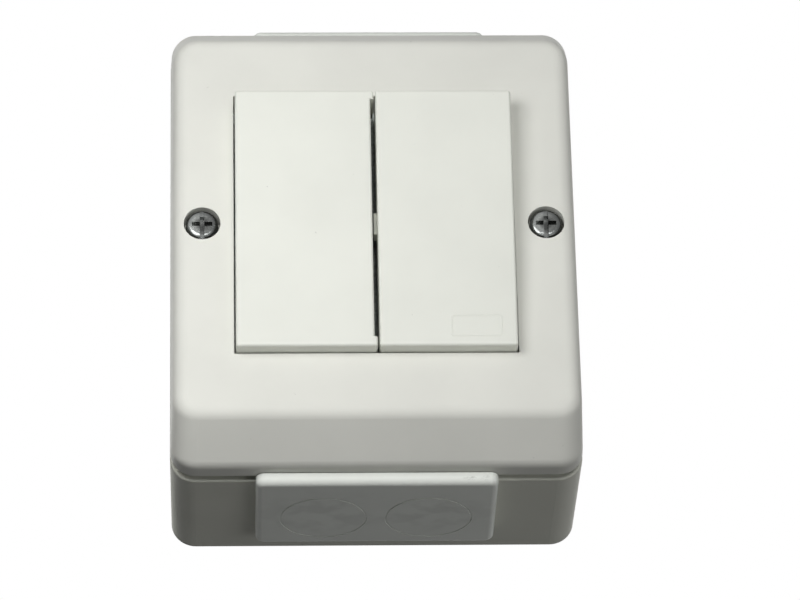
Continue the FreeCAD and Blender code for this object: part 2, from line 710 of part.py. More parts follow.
def make_spring(label, side):
    """Compression spring in the toggle tube."""
    body = new_body(label)
    x = ROCKER_X if side > 0 else f"(-1 * {ROCKER_X})"
    wire = new_sketch(body, "wire", "plan", "0")
    circle(wire, f"{x} + spring_radius", f"-{SPRING_BACK} - wire_radius", "wire_radius")
    axis = new_sketch(body, "coil_axis", "plan", "0")
    outline(axis, [(x, f"-{SPRING_BACK}"), (x, f"-{SPRING_BACK} - spring_length"),
                   (f"{x} + spring_radius", f"-{SPRING_BACK}")])
    coil = body.newObject("PartDesign::AdditiveHelix", "coil")
    coil.Profile = wire
    coil.ReferenceAxis = (axis, ["Edge1"])
    coil.Mode = 2
    coil.setExpression("Height", bound("spring_length - 2 * wire_radius"))
    coil.setExpression("Turns", bound("spring_turns"))
    doc.recompute()
    return body


def make_contact_blade(label, side):
    """See-saw contact blade with two pivot pins and a contact rivet."""
    body = new_body(label)
    x = ROCKER_X if side > 0 else f"(-1 * {ROCKER_X})"
    add_block(body, "blade", "front", f"{x} - blade_width / 2", f"{x} + blade_width / 2",
              f"-{BLADE_Z}", BLADE_Z, BLADE_BACK, BLADE_FRONT)
    reach = "(blade_width / 2 + ear_clearance + ear_thickness + pin_overhang)"
    pivot = [("-contact_pivot", "0")]
    add_round(body, "pins", "side", pivot, "blade_pin_radius", f"{x} - {reach}", f"{x} + {reach}")
    add_round(body, "rivet", "front", [(x, RIVET_Z)], "rivet_radius",
              f"{BLADE_BACK} - rivet_height", BLADE_BACK)
    return body


def make_common_terminal():
    """Brass bar that carries both contact blades and ends in the line terminal."""
    body = new_body("common_terminal")
    ear_x = "(blade_width / 2 + ear_clearance)"
    ear_end = f"({ear_x} + ear_thickness)"
    half = f"({ROCKER_X} + {ear_end} + bar_end)"
    add_block(body, "bar", "front", f"-{half}", half, "-bar_width / 2", "bar_width / 2",
              "chamber_floor", STRIP_FRONT)
    tail = f"({TERMINAL_Z} + clamp_height / 2)"
    add_block(body, "tail", "front", "-strip_width / 2", "strip_width / 2", f"-{tail}", "0",
              "chamber_floor", STRIP_FRONT)
    ear_top = "(contact_pivot + blade_pin_radius + ear_thickness)"
    ears = new_sketch(body, "ears", "front", STRIP_FRONT)
    for sign in ("", "-1 * "):
        centre = f"({sign}{ROCKER_X})"
        for inner, outer in ((ear_x, ear_end), (f"-{ear_end}", f"-{ear_x}")):
            rectangle(ears, f"{centre} + {inner}", f"{centre} + {outer}", "-ear_width / 2", "ear_width / 2")
    pad(body, ears, f"{ear_top} - {STRIP_FRONT}")
    pivot_bore = "(blade_pin_radius + running_clearance)"
    cut_round(body, "pivots", "side", [("-contact_pivot", "0")], pivot_bore, f"-{half}", half)


def make_output_contact(label, side):
    """Brass strip with the fixed contact of one switch, ending in its output terminal."""
    body = new_body(label)
    x = ROCKER_X if side > 0 else f"(-1 * {ROCKER_X})"
    tail = f"({TERMINAL_Z} + clamp_height / 2)"
    start = f"({RIVET_Z} - rivet_radius - strip_end)"
    add_block(body, "strip", "front", f"{x} - strip_width / 2", f"{x} + strip_width / 2", start, tail,
              "chamber_floor", STRIP_FRONT)
    drop = f"({RIVET_Z} * sin({BLADE_TILT}))"
    thickness = f"((blade_thickness / 2 + rivet_height) * cos({BLADE_TILT}))"
    edge = f"(rivet_radius * sin({BLADE_TILT}))"
    pad_front = f"(contact_pivot - {drop} - {thickness} - {edge} - contact_gap)"
    add_round(body, "fixed_rivet", "front", [(x, RIVET_Z)], "rivet_radius", STRIP_FRONT, pad_front)


def make_terminal_clamps():
    """Steel cage clamps, one on each terminal strip."""
    body = new_body("terminal_clamps")
    top = f"({STRIP_FRONT} + clamp_depth)"
    cages = new_sketch(body, "cages", "front", STRIP_FRONT)
    for x, z in TERMINAL_PLACES:
        rectangle(cages, f"{x} - clamp_width / 2", f"{x} + clamp_width / 2",
                  f"{z} - clamp_height / 2", f"{z} + clamp_height / 2")
    pad(body, cages, "clamp_depth")
    ways = new_sketch(body, "wire_ways", "plan", f"-{TERMINAL_Z} - clamp_height")
    for x, _ in TERMINAL_PLACES:
        rectangle(ways, f"{x} - clamp_width / 2 + clamp_wall", f"{x} + clamp_width / 2 - clamp_wall",
                  f"-{top} + clamp_wall", f"-{STRIP_FRONT} - clamp_wall / 2")
    pocket(body, ways, f"2 * ({TERMINAL_Z} + clamp_height)")
    bore = "(terminal_screw_radius + thread_clearance)"
    cut_round(body, "threads", "front", TERMINAL_PLACES, bore, f"{top} - clamp_wall", top)


def make_terminal_screws():
    """Slotted clamp screws, one in each cage clamp."""
    body = new_body("terminal_screws")
    start = f"({STRIP_FRONT} + clamp_depth - clamp_wall - thread_run)"
    head = f"({start} + terminal_screw_length - terminal_head_height)"
    top = f"({head} + terminal_head_height)"
    add_round(body, "shanks", "front", TERMINAL_PLACES, "terminal_screw_radius", start, head)
    add_round(body, "heads", "front", TERMINAL_PLACES, "terminal_head_radius", head, top)
    slots = new_sketch(body, "slots", "front", f"{top} - slot_depth")
    slot_x = "(terminal_head_radius + cut_margin)"
    slot_z = "(slot_width / 2)"
    for x, z in TERMINAL_PLACES:
        rectangle(slots, f"{x} - {slot_x}", f"{x} + {slot_x}", f"{z} - {slot_z}", f"{z} + {slot_z}")
    pocket(body, slots, "slot_depth")


def make_switch_base():
    """Moulded carrier with a chamber for each contact blade and a pocket for each terminal."""
    body = new_body("switch_base")
    add_block(body, "carrier", "front", f"-{CARRIER_X}", CARRIER_X, f"-{CARRIER_Z}", CARRIER_Z,
              "mechanism_back", "mechanism_front")
    depth = "mechanism_front - chamber_floor"
    chambers = new_sketch(body, "chambers", "front", "chamber_floor")
    for sign in ("", "-1 * "):
        centre = f"({sign}{ROCKER_X})"
        rectangle(chambers, f"{centre} - chamber_width / 2", f"{centre} + chamber_width / 2",
                  f"-{CHAMBER_Z}", CHAMBER_Z)
    pocket(body, chambers, depth)
    pockets = new_sketch(body, "terminal_pockets", "front", "chamber_floor")
    for x, z in TERMINAL_PLACES:
        rectangle(pockets, f"{x} - terminal_width / 2", f"{x} + terminal_width / 2",
                  f"{z} - terminal_height / 2", f"{z} + terminal_height / 2")
    pocket(body, pockets, depth)
    strip = "(strip_width / 2 + strip_clearance)"
    bar = "(bar_width / 2 + strip_clearance)"
    cut_block(body, "bar_channel", "front", f"-{ROCKER_X}", ROCKER_X, f"-{bar}", bar,
              "chamber_floor", "mechanism_front")
    cut_block(body, "tail_channel", "front", f"-{strip}", strip, f"-{TERMINAL_Z}", "0",
              "chamber_floor", "mechanism_front")
    strips = new_sketch(body, "strip_channels", "front", "chamber_floor")
    for sign in ("", "-1 * "):
        centre = f"({sign}{ROCKER_X})"
        rectangle(strips, f"{centre} - {strip}", f"{centre} + {strip}", RIVET_Z, TERMINAL_Z)
    pocket(body, strips, depth)
    wire_depth = f"({STRIP_FRONT} + clamp_depth / 2)"
    upper = [(x, f"-{wire_depth}") for x, z in TERMINAL_PLACES[:2]]
    cut_round(body, "output_ways", "plan", upper, "wire_radius_max", TERMINAL_Z, CARRIER_Z)
    lower = [("0", f"-{wire_depth}")]
    cut_round(body, "line_way", "plan", lower, "wire_radius_max", f"-{CARRIER_Z}", f"-{TERMINAL_Z}")
    passage = "(screw_radius + fit_clearance)"
    cut_round(body, "screw_passages", "front", CORNER_PLACES, passage, "mechanism_back", "mechanism_front")


def make_switch_frame():
    """Frame over the carrier, with the bearing cheeks of both toggles and a seat for the membrane."""
    body = new_body("switch_frame")
    add_block(body, "plate", "front", f"-{FRAME_X}", FRAME_X, f"-{FRAME_Z}", FRAME_Z,
              "frame_back", FRAME_FRONT)
    rim = new_sketch(body, "rim", "front", FRAME_FRONT)
    rectangle(rim, f"-{FRAME_X}", FRAME_X, f"-{FRAME_Z}", FRAME_Z)
    rectangle(rim, f"-{FRAME_X} + frame_rim_width", f"{FRAME_X} - frame_rim_width",
              f"-{FRAME_Z} + frame_rim_width", f"{FRAME_Z} - frame_rim_width")
    pad(body, rim, f"{SHEET_BACK} - {FRAME_FRONT}")
    inner = "(barrel_length / 2 + cheek_clearance)"
    outer = "(barrel_length / 2 + trunnion_length - fit_clearance)"
    cheek_z = "(cheek_height / 2)"
    cheeks = new_sketch(body, "cheeks", "front", "mechanism_front")
    for sign in ("", "-1 * "):
        centre = f"({sign}{ROCKER_X})"
        for start, end in ((inner, outer), (f"-{outer}", f"-{inner}")):
            rectangle(cheeks, f"{centre} + {start}", f"{centre} + {end}", f"-{cheek_z}", cheek_z)
    pad(body, cheeks, "frame_back - mechanism_front")
    openings = new_sketch(body, "openings", "front", "frame_back")
    for sign in ("", "-1 * "):
        centre = f"({sign}{ROCKER_X})"
        rectangle(openings, f"{centre} - {inner}", f"{centre} + {inner}", f"-{cheek_z}", cheek_z)
    pocket(body, openings, "frame_thickness")
    bearing = "(trunnion_radius + running_clearance)"
    cut_round(body, "bearings", "side", [("-pivot_depth", "0")], bearing, f"-{FRAME_X}", FRAME_X)
    access = "(corner_head_radius + head_clearance)"
    cut_round(body, "driver_holes", "front", CORNER_PLACES, access, "frame_back", FRAME_FRONT)


def make_mechanism_screws():
    """Two screws that hold the mechanism on the pillars of the back box."""
    body = new_body("mechanism_screws")
    add_round(body, "shanks", "front", CORNER_PLACES, "screw_radius",
              "mechanism_back - corner_screw_bite", "mechanism_front")
    top = "(mechanism_front + corner_head_height)"
    add_round(body, "heads", "front", CORNER_PLACES, "corner_head_radius", "mechanism_front", top)
    slots = new_sketch(body, "slots", "front", f"{top} - slot_depth")
    slot_x = "(corner_head_radius + cut_margin)"
    slot_z = "(slot_width / 2)"
    for x, z in CORNER_PLACES:
        rectangle(slots, f"{x} - {slot_x}", f"{x} + {slot_x}", f"{z} - {slot_z}", f"{z} + {slot_z}")
    pocket(body, slots, "slot_depth")


def make_rocker_membrane():
    """Rubber sheet behind the rockers, with a lipped slot for each toggle stem."""
    body = new_body("rocker_membrane")
    add_block(body, "sheet", "front", f"-{FRAME_X}", FRAME_X, f"-{FRAME_Z}", FRAME_Z,
              SHEET_BACK, COLLAR_BACK)
    slot_x = "(stem_width / 2 + stem_clearance)"
    slot_z = "(stem_height / 2 + stem_clearance)"
    lips = new_sketch(body, "lips", "front", COLLAR_BACK)
    slots = new_sketch(body, "slots", "front", SHEET_BACK)
    for sign in ("", "-1 * "):
        centre = f"({sign}{ROCKER_X})"
        rectangle(lips, f"{centre} - {slot_x} - sheet_lip", f"{centre} + {slot_x} + sheet_lip",
                  f"-{slot_z} - sheet_lip", f"{slot_z} + sheet_lip")
        rectangle(slots, f"{centre} - {slot_x}", f"{centre} + {slot_x}", f"-{slot_z}", slot_z)
    pad(body, lips, "sheet_lip")
    pocket(body, slots, "sheet_thickness + sheet_lip")


make_back_box()
make_entry_plate("entry_plate_upper", 1)
make_entry_plate("entry_plate_lower", -1)
make_cover()
make_cover_gasket()
make_cover_screws()
make_rings("screw_seals", "head_radius", "screw_radius + thread_clearance", SEAL_SEAT, HEAD_SEAT)
make_rings("screw_inserts", "insert_radius", "screw_radius + thread_clearance",
           f"{RIM_TOP} - insert_length", RIM_TOP)
make_rocker_membrane()
make_switch_base()
make_switch_frame()
make_mechanism_screws()
make_common_terminal()
make_terminal_clamps()
make_terminal_screws()
for name, direction in (("left", -1), ("right", 1)):
    make_output_contact(f"output_contact_{name}", direction)
    for maker in (make_rocker, make_toggle, make_plunger, make_spring):
        piece = maker(f"{maker.__name__[5:]}_{name}", direction)
        lean(piece, "pivot_depth", "-tilt")
    blade = make_contact_blade(f"contact_blade_{name}", direction)
    lean(blade, "contact_pivot", BLADE_TILT)

doc.recompute()
for item in doc.Objects:
    if "Invalid" in item.State or "Error" in item.State:
        raise ValueError(f"{item.Label} did not build")
for body in bodies:
    if body.Shape.isNull() or not body.Shape.isValid():
        raise ValueError(f"{body.Label} has no valid shape")
os.makedirs("parts", exist_ok=True)
for body in bodies:
    body.Shape.exportStep(f"parts/{body.Label}.step")
    print(body.Label, len(body.Shape.Solids), round(body.Shape.Volume, 1))
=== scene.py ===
import math
import bmesh
import bpy
from mathutils import Matrix, Vector


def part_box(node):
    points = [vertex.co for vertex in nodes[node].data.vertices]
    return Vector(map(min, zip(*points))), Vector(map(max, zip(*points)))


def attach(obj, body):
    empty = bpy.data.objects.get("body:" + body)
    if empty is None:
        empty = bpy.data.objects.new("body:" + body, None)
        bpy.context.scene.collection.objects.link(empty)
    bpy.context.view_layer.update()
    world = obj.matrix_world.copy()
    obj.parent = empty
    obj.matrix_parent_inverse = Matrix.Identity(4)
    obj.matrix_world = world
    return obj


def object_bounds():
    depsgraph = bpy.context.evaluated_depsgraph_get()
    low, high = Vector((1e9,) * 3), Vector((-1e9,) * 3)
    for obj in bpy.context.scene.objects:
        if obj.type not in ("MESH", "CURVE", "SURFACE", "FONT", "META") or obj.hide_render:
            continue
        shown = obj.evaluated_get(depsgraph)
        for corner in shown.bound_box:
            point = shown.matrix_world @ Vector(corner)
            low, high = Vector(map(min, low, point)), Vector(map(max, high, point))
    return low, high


# Looks of a surface-mounted weatherproof double rocker switch. Lengths are in metres.
# The switch hangs upright: +Z is up, its front faces -Y and its wall face lies at y = 0.

MM = 0.001

# Camera, fitted to the photograph, in degrees and picture pixels. It looks down on the front from
# above the upper end, and the picture is upside down.
IMAGE_WIDTH = 800
FOCAL_PIXELS = 4869.73
SENSOR_WIDTH = 36.0
CAMERA_PITCH = 28.584
CAMERA_YAW = 2.359
CAMERA_ROLL = 1.344
CAMERA_SHIFT_X = -5.597 * MM
CAMERA_SHIFT_Y = -5.955 * MM
CAMERA_DISTANCE = 869.794 * MM
CLIP_START = 0.01
CLIP_END = 20

# Lamps: name, direction from the switch, distance, side of the square, watts, seen in reflections
LAMPS = [
    ("key", (0.43, -1.0, 0.0), 0.20, 0.11, 0.215, True),
    ("front", (-0.15, -1.0, 0.0), 1.0, 0.30, 3.1, True),
    ("fill", (-0.68, -0.50, 0.55), 0.5, 0.30, 0.357, True),
    ("rear_right", (1.0, 1.3, -0.9), 0.6, 0.08, 1.4, False),
    ("rear_left", (-1.0, 1.3, -0.9), 0.6, 0.08, 1.1, False),
]

# Strength of the world's faint light from below and from above, and the floor
WORLD_BELOW = 0.02
WORLD_ABOVE = 0.055
FLOOR_DROP = 1.3
FLOOR_HALF = 4.0
FLOOR_PAINT = (0.8, 0.8, 0.8)
WHITE = (1, 1, 1)

# Raised bare frame on the left rocker
MARK_WIDTH = 9.0 * MM
MARK_HEIGHT = 4.3 * MM
MARK_ROUND = 0.7 * MM
MARK_LINE = 0.55 * MM
MARK_BEVEL = 0.35 * MARK_LINE
MARK_RISE = 0.07 * MM
MARK_SINK = 0.03 * MM
MARK_SIDE_GAP = 2.5 * MM
MARK_END_GAP = 1.5 * MM
CORNER_STEPS = 6
FRONT_FACING = -0.99

# Noise textures: scale per metre and detail
CLOUD = (70, 3)
SPECKS = (900, 2)
PLASTIC_PATCHES = (160, 5)
PLASTIC_GRAIN = (5200, 2)
METAL_STAIN = (900, 4)
METAL_PATCHES = (1500, 3)
SCRATCH_DETAIL = 2
# The noise below makes the rings of painted reflection and shade on the screw heads wander
SCREW_RING_NOISE = (1400, 4)
SCREW_PATCHES = (2500, 3)
SCREW_DENTS = (2600, 3)
RUBBER_DUST = (1200, 5)
RUBBER_GRAIN = (4000, 3)
# Streaks in the darkened places, in rubbed places and painted shade alike
DARKENING_STREAKS = (2.2, 2)  # its scale is per reach of the scuff, not per metre

# Shades of a material's colour: place in its noise and factor
PLASTIC_SHADES = [(0.3, 0.97), (0.7, 1.015)]
METAL_SHADES = [(0.35, 0.72), (0.65, 1)]
RUBBER_SHADES = [(0.35, 1), (0.75, 1.5)]

# How far the roughness wanders below and above its middle value
PLASTIC_SPREAD = (0.06, 0.06)
METAL_SPREAD = (0.08, 0.12)
SCREW_SPREAD = (0.08, 0.14)
RUBBER_ROUGHNESS = 0.75

# Bumps: strength and depth; the grain of each plastic has its own depth
GRAIN_STRENGTH = 0.12
SCRATCH_BUMP = (0.15, 0.02 * MM)
DENT_BUMP = (0.5, 0.06 * MM)
RUBBER_BUMP = (0.2, 0.03 * MM)

# Dust, dirt and painted light: spans of the noise over which they set in, and their largest share
WHOLE = (0, 1)
DUST_AND_SHADE_COLOUR = (0.30, 0.30, 0.28)
SPECK_SPAN = (0.74, 0.82)
SPECK_SHARE = 0.35
DARKENING_FADE = (1, 0.3)
DARKENING_SPAN = (0.45, 0.60)
# Painted light on the screw heads: how far its rings wander, and its darkest painted shade on one
# side
PAINTED_RING_WANDER = 0.22
SIDE_SHADE_DARKEST = 0.4

# Darkened places of the upper entry plate, rubbed places and painted shade: place across, reach
# along each axis, share of darkening
LEDGE_DEPTH = 1.0 * MM
LEDGE_SCUFFS = [
    (-15.8 * MM, (1.6 * MM, 1.0 * MM, 0.5 * MM), 0.45),
    (-18.4 * MM, (1.2 * MM, 1.0 * MM, 0.8 * MM), 0.25),
]
# Broad darker patches on the outer face over the two knock-out rings: painted shade of their
# shallow dishes, with some dusty smears
PAD_SMEARS_AND_SHADE = [
    (9.4 * MM, (13.0 * MM, 10.0 * MM, 2.0 * MM), 0.2),
    (-10.2 * MM, (-12.0 * MM, 8.0 * MM, 2.0 * MM), 0.2),
]

# Zinc of the cover screws with painted light, from the middle of a head (0) to its rim (1):
# painted shade in the cross recess and towards the rim, a painted reflection ring between
ZINC_PAINTED_LIGHT_RINGS = [
    (0.12, (0.09, 0.093, 0.09)),
    (0.34, (0.16, 0.165, 0.16)),
    (0.55, (0.29, 0.30, 0.29)),
    (0.72, (0.25, 0.26, 0.255)),
    (0.90, (0.20, 0.21, 0.205)),
]

# Colour sockets of Blender's Mix node: two inputs and the result
MIX_FIRST, MIX_SECOND, MIX_RESULT = 6, 7, 2

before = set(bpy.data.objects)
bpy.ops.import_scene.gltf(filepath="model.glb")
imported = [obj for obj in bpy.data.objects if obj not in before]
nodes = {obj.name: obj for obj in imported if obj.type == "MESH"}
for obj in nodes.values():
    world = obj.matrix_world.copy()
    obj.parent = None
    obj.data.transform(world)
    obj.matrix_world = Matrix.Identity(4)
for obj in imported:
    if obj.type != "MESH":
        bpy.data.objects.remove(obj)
cad_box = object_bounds()


# Shader building blocks

def new_material(name):
    """A material with a Principled shader; returns it with its tree and shader."""
    material = bpy.data.materials.new(name)
    material.use_nodes = True
    tree = material.node_tree
    shader = next(node for node in tree.nodes if node.type == "BSDF_PRINCIPLED")
    return material, tree, shader


def add_noise(tree, scale, detail, vector=None):
    """Noise, in the object's own metres unless other coordinates are given."""
    if vector is None:
        vector = tree.nodes.new("ShaderNodeTexCoord").outputs["Object"]
    noise = tree.nodes.new("ShaderNodeTexNoise")
    noise.inputs["Scale"].default_value = scale
    noise.inputs["Detail"].default_value = detail
    tree.links.new(vector, noise.inputs["Vector"])
    return noise.outputs["Fac"]


def add_ramp(tree, value, stops):
    """A colour ramp over a value, with stops as (place, colour)."""
    ramp = tree.nodes.new("ShaderNodeValToRGB")
    elements = ramp.color_ramp.elements
    while len(elements) < len(stops):
        elements.new(0.5)
    for element, (place, colour) in zip(elements, stops):
        element.position = place
        element.color = (*colour, 1)
    tree.links.new(value, ramp.inputs["Fac"])
    return ramp.outputs["Color"]


def add_tone(tree, texture, colour, shades):
    """Darker and lighter shades of one colour over a noise texture."""
    stops = [(place, tuple(min(channel * factor, 1) for channel in colour))
             for place, factor in shades]
    return add_ramp(tree, add_noise(tree, *texture), stops)


def add_range(tree, value, source, target, smooth=False):
    """Map a value from one span to another, and hold it at the ends."""
    mapped = tree.nodes.new("ShaderNodeMapRange")
    if smooth:
        mapped.interpolation_type = "SMOOTHSTEP"
    for label, (first, last) in (("From", source), ("To", target)):
        mapped.inputs[label + " Min"].default_value = first
        mapped.inputs[label + " Max"].default_value = last
    tree.links.new(value, mapped.inputs["Value"])
    return mapped.outputs["Result"]


def add_math(tree, operation, first, second):
    """One step of arithmetic; each term is a socket or a number."""
    step = tree.nodes.new("ShaderNodeMath")
    step.operation = operation
    for term, place in ((first, 0), (second, 1)):
        if isinstance(term, (int, float)):
            step.inputs[place].default_value = term
        else:
            tree.links.new(term, step.inputs[place])
    return step.outputs["Value"]


def add_mix(tree, share, first, second):
    """Blend from one colour socket towards a fixed colour."""
    mix = tree.nodes.new("ShaderNodeMix")
    mix.data_type = "RGBA"
    tree.links.new(share, mix.inputs[0])
    tree.links.new(first, mix.inputs[MIX_FIRST])
    mix.inputs[MIX_SECOND].default_value = (*second, 1)
    return mix.outputs[MIX_RESULT]


def add_axes(tree, output):
    """X, Y and Z sockets of one kind of texture coordinates."""
    place = tree.nodes.new("ShaderNodeTexCoord")
    parts = tree.nodes.new("ShaderNodeSeparateXYZ")
    tree.links.new(place.outputs[output], parts.inputs["Vector"])
    return parts.outputs["X"], parts.outputs["Y"], parts.outputs["Z"]


def add_gloss(tree, shader, texture, roughness, spread):
    """Uneven roughness about a middle value."""
    below, above = spread
    patches = add_noise(tree, *texture)
    gloss = add_range(tree, patches, WHOLE, (roughness - below, roughness + above))
    tree.links.new(gloss, shader.inputs["Roughness"])


def add_bump(tree, shader, texture, strength, depth):
    """A fine relief from a noise texture."""
    bump = tree.nodes.new("ShaderNodeBump")
    bump.inputs["Strength"].default_value = strength
    bump.inputs["Distance"].default_value = depth
    tree.links.new(add_noise(tree, *texture), bump.inputs["Height"])
    tree.links.new(bump.outputs["Normal"], shader.inputs["Normal"])


def add_darkening(tree, middle, reach, amount):
    """Share of darkening around one place, broken up by noise; it serves rubbed places and
    painted shade alike.
    """
    place = tree.nodes.new("ShaderNodeTexCoord")
    stretch = tree.nodes.new("ShaderNodeMapping")
    stretch.vector_type = "TEXTURE"
    stretch.inputs["Location"].default_value = middle
    stretch.inputs["Scale"].default_value = reach
    tree.links.new(place.outputs["Object"], stretch.inputs["Vector"])
    length = tree.nodes.new("ShaderNodeVectorMath")
    length.operation = "LENGTH"
    tree.links.new(stretch.outputs["Vector"], length.inputs[0])
    fade = add_range(tree, length.outputs["Value"], DARKENING_FADE, WHOLE)
    streaks = add_noise(tree, *DARKENING_STREAKS, stretch.outputs["Vector"])
    broken = add_range(tree, streaks, DARKENING_SPAN, (0, amount))
    return add_math(tree, "MULTIPLY", fade, broken)


# Kinds of material

def plastic(name, colour, roughness, shine, grain, scuffs_and_shade=()):
    """Moulded plastic: faint clouds, dust, rubbed places and painted shade where given, uneven
    gloss and a fine grain.
    """
    material, tree, shader = new_material(name)
    tone = add_tone(tree, CLOUD, colour, PLASTIC_SHADES)
    dust = add_noise(tree, *SPECKS)
    specks = add_range(tree, dust, SPECK_SPAN, (0, SPECK_SHARE), smooth=True)
    tone = add_mix(tree, specks, tone, DUST_AND_SHADE_COLOUR)
    for middle, reach, amount in scuffs_and_shade:
        tone = add_mix(tree, add_darkening(tree, middle, reach, amount), tone, DUST_AND_SHADE_COLOUR)
    tree.links.new(tone, shader.inputs["Base Color"])
    add_gloss(tree, shader, PLASTIC_PATCHES, roughness, PLASTIC_SPREAD)
    shader.inputs["Specular IOR Level"].default_value = shine
    add_bump(tree, shader, PLASTIC_GRAIN, GRAIN_STRENGTH, grain)
    return material


def metal(name, colour, roughness, scratch_scale):
    """Plated or rolled metal with fine scratches and stains."""
    material, tree, shader = new_material(name)
    tone = add_tone(tree, METAL_STAIN, colour, METAL_SHADES)
    tree.links.new(tone, shader.inputs["Base Color"])
    shader.inputs["Metallic"].default_value = 1.0
    add_gloss(tree, shader, METAL_PATCHES, roughness, METAL_SPREAD)
    add_bump(tree, shader, (scratch_scale, SCRATCH_DETAIL), *SCRATCH_BUMP)
    return material


def screw_finish(name, rings, roughness):
    """Dull zinc with painted light in rings about the two screw heads: painted shade in the cross
    recess and at the rim, a painted reflection between, and painted shade towards one side.
    """
    material, tree, shader = new_material(name)
    x, _, z = add_axes(tree, "Object")
    low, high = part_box("cover_screws")
    head_radius = (high.z - low.z) / 2
    side = add_math(tree, "SIGN", x, 0)
    head_x = add_math(tree, "MULTIPLY", side, high.x - head_radius)
    across = add_math(tree, "SUBTRACT", x, head_x)
    square = add_math(tree, "ADD", add_math(tree, "MULTIPLY", across, across),
                      add_math(tree, "MULTIPLY", z, z))
    share = add_math(tree, "DIVIDE", add_math(tree, "SQRT", square, 0), head_radius)
    # Painted reflection and shade in rings about each head, their edges wandering with noise
    ring_noise = add_noise(tree, *SCREW_RING_NOISE)
    wander = add_range(tree, ring_noise, WHOLE, (-PAINTED_RING_WANDER, PAINTED_RING_WANDER))
    ring = add_math(tree, "ADD", share, wander)
    half = head_radius / 2
    # Painted shade darkening the -X half of each head, in place of a reflection that lights only
    # the +X half
    painted_side_shade = add_range(tree, across, (-half, half), (SIDE_SHADE_DARKEST, 1))
    tone = tree.nodes.new("ShaderNodeVectorMath")
    tone.operation = "SCALE"
    tree.links.new(add_ramp(tree, ring, rings), tone.inputs[0])
    tree.links.new(painted_side_shade, tone.inputs["Scale"])
    tree.links.new(tone.outputs["Vector"], shader.inputs["Base Color"])
    shader.inputs["Metallic"].default_value = 1.0
    add_gloss(tree, shader, SCREW_PATCHES, roughness, SCREW_SPREAD)
    add_bump(tree, shader, SCREW_DENTS, *DENT_BUMP)
    return material


def rubber(name, colour):
    """Dull rubber with a powdery surface."""
    material, tree, shader = new_material(name)
    tone = add_tone(tree, RUBBER_DUST, colour, RUBBER_SHADES)
    tree.links.new(tone, shader.inputs["Base Color"])
    shader.inputs["Roughness"].default_value = RUBBER_ROUGHNESS
    add_bump(tree, shader, RUBBER_GRAIN, *RUBBER_BUMP)
    return material


def plate_scuffs_and_shade():
    """Darkened places of the upper entry plate: rubbed places on its front ledge, and painted
    shade with dusty smears on its outer face.
    """
    plate_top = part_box("entry_plate_upper")[1].z
    ledge_z = plate_top - LEDGE_DEPTH
    points = nodes["entry_plate_upper"].data.vertices
    pad_depths = [point.co.y for point in points if point.co.z > ledge_z]
    ledge_y = min(pad_depths)
    pad_y = (ledge_y + max(pad_depths)) / 2
    on_ledge = [((x, ledge_y, ledge_z), reach, amount) for x, reach, amount in LEDGE_SCUFFS]
    on_pad = [((x, pad_y, plate_top), reach, amount) for x, reach, amount in PAD_SMEARS_AND_SHADE]
    return on_ledge + on_pad


def dress(material, *names):
    """Give CAD nodes a finish."""
    for name in names:
        slots = nodes[name].data.materials
        slots.clear()
        slots.append(material)


# Materials of this switch

cover_plastic = plastic("cover_plastic", (0.788, 0.791, 0.735),
                        roughness=0.36, shine=0.03, grain=0.02 * MM)
base_plastic = plastic("base_plastic", (0.695, 0.702, 0.625),
                       roughness=0.45, shine=0.05, grain=0.03 * MM)
plate_plastic = plastic("plate_plastic", (0.81, 0.836, 0.787),
                        roughness=0.45, shine=0.10, grain=0.03 * MM, scuffs_and_shade=plate_scuffs_and_shade())
rocker_plastic = plastic("rocker_plastic", (0.815, 0.828, 0.762),
                         roughness=0.32, shine=0.25, grain=0.01 * MM)
toggle_plastic = plastic("toggle_plastic", (0.70, 0.69, 0.65),
                         roughness=0.5, shine=0.3, grain=0.02 * MM)
carrier_plastic = plastic("carrier_plastic", (0.42, 0.42, 0.41),
                          roughness=0.55, shine=0.3, grain=0.03 * MM)
seal_rubber = rubber("seal_rubber", (0.10, 0.107, 0.105))
membrane_rubber = rubber("membrane_rubber", (0.42, 0.455, 0.425))
screw_steel = metal("screw_steel", (0.45, 0.46, 0.46), roughness=0.26, scratch_scale=9000)
cover_screw_zinc = screw_finish("cover_screw_zinc", ZINC_PAINTED_LIGHT_RINGS, roughness=0.22)
clamp_steel = metal("clamp_steel", (0.6, 0.6, 0.58), roughness=0.35, scratch_scale=6000)
brass = metal("brass", (0.83, 0.62, 0.28), roughness=0.3, scratch_scale=7000)

dress(cover_plastic, "cover")
dress(base_plastic, "back_box")
dress(plate_plastic, "entry_plate_upper", "entry_plate_lower")
dress(rocker_plastic, "rocker_left", "rocker_right")
dress(toggle_plastic, "toggle_left", "toggle_right", "plunger_left", "plunger_right")
dress(carrier_plastic, "switch_base", "switch_frame")
dress(seal_rubber, "cover_gasket", "screw_seals")
dress(membrane_rubber, "rocker_membrane")
dress(cover_screw_zinc, "cover_screws")
dress(screw_steel, "mechanism_screws", "terminal_screws", "spring_left", "spring_right")
dress(clamp_steel, "terminal_clamps")
dress(brass, "screw_inserts", "common_terminal", "output_contact_left", "output_contact_right",
      "contact_blade_left", "contact_blade_right")


# The raised frame

def rounded_outline(width, height, radius):
    """Points of a rounded rectangle about the origin, corner by corner."""
    points = []
    for corner, (side, end) in enumerate([(1, 1), (-1, 1), (-1, -1), (1, -1)]):
        for step in range(CORNER_STEPS + 1):
            angle = math.radians(90 * (corner + step / CORNER_STEPS))
            points.append((side * (width / 2 - radius) + radius * math.cos(angle),
                           end * (height / 2 - radius) + radius * math.sin(angle)))
    return points


def rocker_face(name):
    """Centre and outward direction of the largest face on a rocker's front."""
    faces = [face for face in nodes[name].data.polygons if face.normal.y < FRONT_FACING]
    face = max(faces, key=lambda polygon: polygon.area)
    return face.center.copy(), face.normal.copy()


